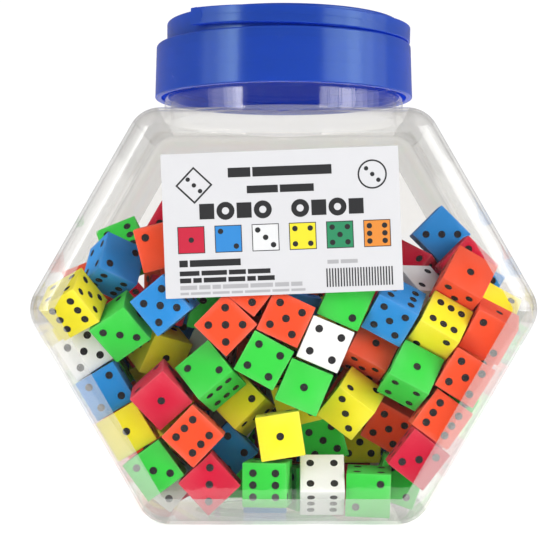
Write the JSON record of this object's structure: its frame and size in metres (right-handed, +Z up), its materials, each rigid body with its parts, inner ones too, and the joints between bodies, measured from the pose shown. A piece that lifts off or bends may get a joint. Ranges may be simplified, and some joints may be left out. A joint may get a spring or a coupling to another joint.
{
  "type": "jar of foam dice",
  "caption": "Clear six-sided counter jar with a screw lid and fold-down half-ring handle, filled with small coloured foam dice.",
  "frame": {"origin": "middle of the base, on the surface that the jar stands on", "axes": "+Z up through the lid, -Y the front with the label, +X to the right seen from the front"},
  "size_m": [0.182, 0.1022, 0.1868],
  "materials": {
    "clear_plastic": "clear, glossy, thin blow-moulded wall",
    "lid_plastic": "blue, semi-gloss, injection moulded",
    "label_paper": null,
    "liner_film": "pale satin film",
    "liner_board": "matt pulp board",
    "green_foam": "matt closed-cell foam",
    "orange_foam": "matt closed-cell foam",
    "blue_foam": "matt closed-cell foam",
    "yellow_foam": "matt closed-cell foam",
    "white_foam": "matt closed-cell foam",
    "magenta_foam": "matt closed-cell foam",
    "mixed_foam": "matt closed-cell foam in mixed colours"
  },
  "bodies": {
    "jar": {"jar_body": "clear_plastic", "front_label": "label_paper", "white_die_1": "white_foam", "magenta_die_2": "magenta_foam", "green_die_3": "green_foam", "white_die_4": "white_foam", "green_die_5": "green_foam", "green_die_6": "green_foam", "green_die_7": "green_foam", "blue_die_8": "blue_foam", "yellow_die_9": "yellow_foam", "magenta_die_10": "magenta_foam", "green_die_11": "green_foam", "orange_die_12": "orange_foam", "yellow_die_13": "yellow_foam", "orange_die_14": "orange_foam", "yellow_die_15": "yellow_foam", "orange_die_16": "orange_foam", "blue_die_17": "blue_foam", "magenta_die_18": "magenta_foam", "green_die_19": "green_foam", "yellow_die_20": "yellow_foam", "orange_die_21": "orange_foam", "green_die_22": "green_foam", "green_die_23": "green_foam", "green_die_24": "green_foam", "white_die_25": "white_foam", "yellow_die_26": "yellow_foam", "white_die_27": "white_foam", "orange_die_28": "orange_foam", "orange_die_29": "orange_foam", "orange_die_30": "orange_foam", "yellow_die_31": "yellow_foam", "green_die_32": "green_foam", "blue_die_33": "blue_foam", "orange_die_34": "orange_foam", "green_die_35": "green_foam", "blue_die_36": "blue_foam", "yellow_die_37": "yellow_foam", "yellow_die_38": "yellow_foam", "orange_die_39": "orange_foam", "blue_die_40": "blue_foam", "blue_die_41": "blue_foam", "white_die_42": "white_foam", "orange_die_43": "orange_foam", "green_die_44": "green_foam", "magenta_die_45": "magenta_foam", "blue_die_46": "blue_foam", "magenta_die_47": "magenta_foam", "magenta_die_48": "magenta_foam", "dice_heap": "mixed_foam"},
    "liner_film": {"liner_film": "liner_film"},
    "liner_board": {"liner_board": "liner_board"},
    "lid": {"lid_shell": "lid_plastic"},
    "handle": {"carry_handle": "lid_plastic"},
    "loose_die_1": {"loose_white_die_1": "white_foam"},
    "loose_die_2": {"loose_orange_die_2": "orange_foam"},
    "loose_die_3": {"loose_green_die_3": "green_foam"},
    "loose_die_4": {"loose_magenta_die_4": "magenta_foam"},
    "loose_die_5": {"loose_blue_die_5": "blue_foam"}
  },
  "joints": [
    {"name": "lid_lift", "type": "slide", "parent": "jar", "child": "liner_film", "axis": [0, 0, 1], "range_m": [0, 0.06]},
    {"name": "lid_rise", "type": "slide", "parent": "liner_film", "child": "liner_board", "axis": [0, 0, 1], "range_m": [0, 0.0064]},
    {"name": "lid_turn", "type": "hinge", "parent": "liner_board", "child": "lid", "pos_m": [0, 0, 0.168], "axis": [0, 0, 1], "range_deg": [0, 450]},
    {"name": "handle_fold", "type": "hinge", "parent": "lid", "child": "handle", "pos_m": [0, 0, 0.1836], "axis": [-0.6561, -0.7547, 0], "range_deg": [0, 180]},
    {"name": "loose_die_1_lift", "type": "slide", "parent": "jar", "child": "loose_die_1", "axis": [0, 0, 1], "range_m": [0, 0.044]},
    {"name": "loose_die_2_lift", "type": "slide", "parent": "jar", "child": "loose_die_2", "axis": [0, 0, 1], "range_m": [0, 0.044]},
    {"name": "loose_die_3_lift", "type": "slide", "parent": "jar", "child": "loose_die_3", "axis": [0, 0, 1], "range_m": [0, 0.044]},
    {"name": "loose_die_4_lift", "type": "slide", "parent": "jar", "child": "loose_die_4", "axis": [0, 0, 1], "range_m": [0, 0.044]},
    {"name": "loose_die_5_lift", "type": "slide", "parent": "jar", "child": "loose_die_5", "axis": [0, 0, 1], "range_m": [0, 0.044]}
  ],
  "couplings": [
    {"joint": "lid_rise", "follows": "lid_turn", "m_per_rad": 0.00080851}
  ]
}
